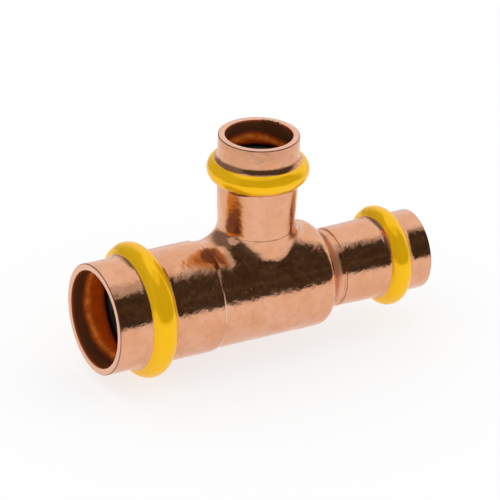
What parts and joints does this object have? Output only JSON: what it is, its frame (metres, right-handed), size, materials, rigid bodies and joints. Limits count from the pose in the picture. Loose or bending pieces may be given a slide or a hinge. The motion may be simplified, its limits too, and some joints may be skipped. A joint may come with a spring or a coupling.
{
  "type": "tee fitting",
  "caption": "Reducing copper press tee for gas pipe: a large inlet in line with a smaller outlet, and a small branch at right angles, each a socket with a seal in a beaded end.",
  "frame": {"origin": "the point where the centre line of the run and the centre line of the branch cross", "axes": "+X along the run, out of the smaller outlet's mouth (the inlet opens towards -X); +Z along the branch, out of its mouth; +Y completes the set, and XZ is the plane of symmetry"},
  "size_m": [0.0816, 0.0308, 0.0525],
  "materials": {
    "copper": "polished",
    "seal_rubber": "satin",
    "yellow_lacquer": "gloss"
  },
  "bodies": {
    "root": {"tee_body": "copper", "inlet_seal": "seal_rubber", "outlet_seal": "seal_rubber", "branch_seal": "seal_rubber", "inlet_band": "yellow_lacquer", "outlet_band": "yellow_lacquer", "branch_band": "yellow_lacquer"}
  },
  "joints": []
}
